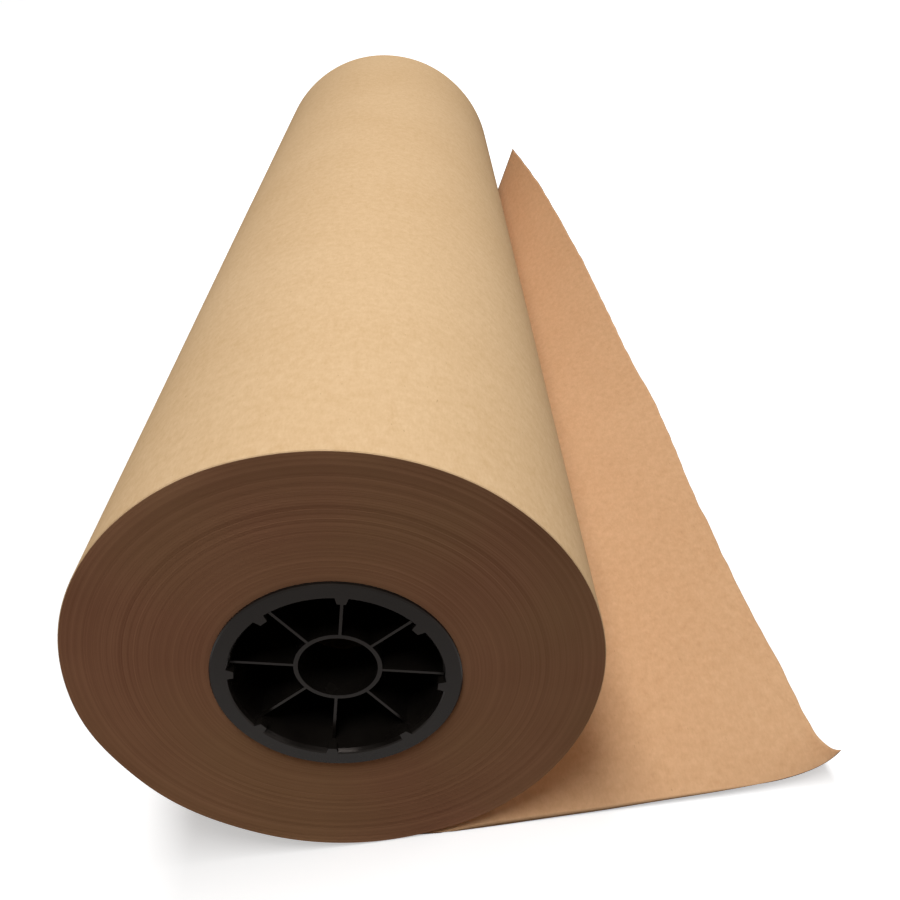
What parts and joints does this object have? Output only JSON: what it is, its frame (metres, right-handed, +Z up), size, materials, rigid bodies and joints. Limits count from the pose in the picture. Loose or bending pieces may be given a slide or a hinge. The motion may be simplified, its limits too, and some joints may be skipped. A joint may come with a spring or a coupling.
{
  "type": "wrapping paper roll",
  "caption": "Wide roll of plain brown kraft wrapping paper on a paperboard core, with black ribbed core plugs in both ends and a loose end curling off the roll.",
  "frame": {"origin": "on the roll's axis, at the mouth of the front plug's hub bore", "axes": "+Y along the roll's axis to the back end, +Z up, +X towards the side where the loose end lies"},
  "size_m": [0.2579, 0.6132, 0.1779],
  "materials": {
    "loose_paper": "uncoated brown kraft, fine fibre mottling",
    "wound_paper": "uncoated brown kraft, darker ringed ends",
    "core_board": "grey-brown spiral-wound paperboard",
    "plug_plastic": "black moulded plastic, satin"
  },
  "bodies": {
    "tail": {"loose_sheet": "loose_paper"},
    "roll": {"wound_paper": "wound_paper", "core_tube": "core_board"},
    "front_core_plug": {"front_plug": "plug_plastic"},
    "back_core_plug": {"back_plug": "plug_plastic"}
  },
  "joints": [
    {"name": "roll_turn", "type": "hinge", "parent": "tail", "child": "roll", "pos_m": [0, 0, 0], "axis": [0, 1, 0], "continuous": true},
    {"name": "front_plug_pull", "type": "slide", "parent": "roll", "child": "front_core_plug", "axis": [0, -1, 0], "range_m": [0, 0.045]},
    {"name": "back_plug_pull", "type": "slide", "parent": "roll", "child": "back_core_plug", "axis": [0, 1, 0], "range_m": [0, 0.045]}
  ]
}
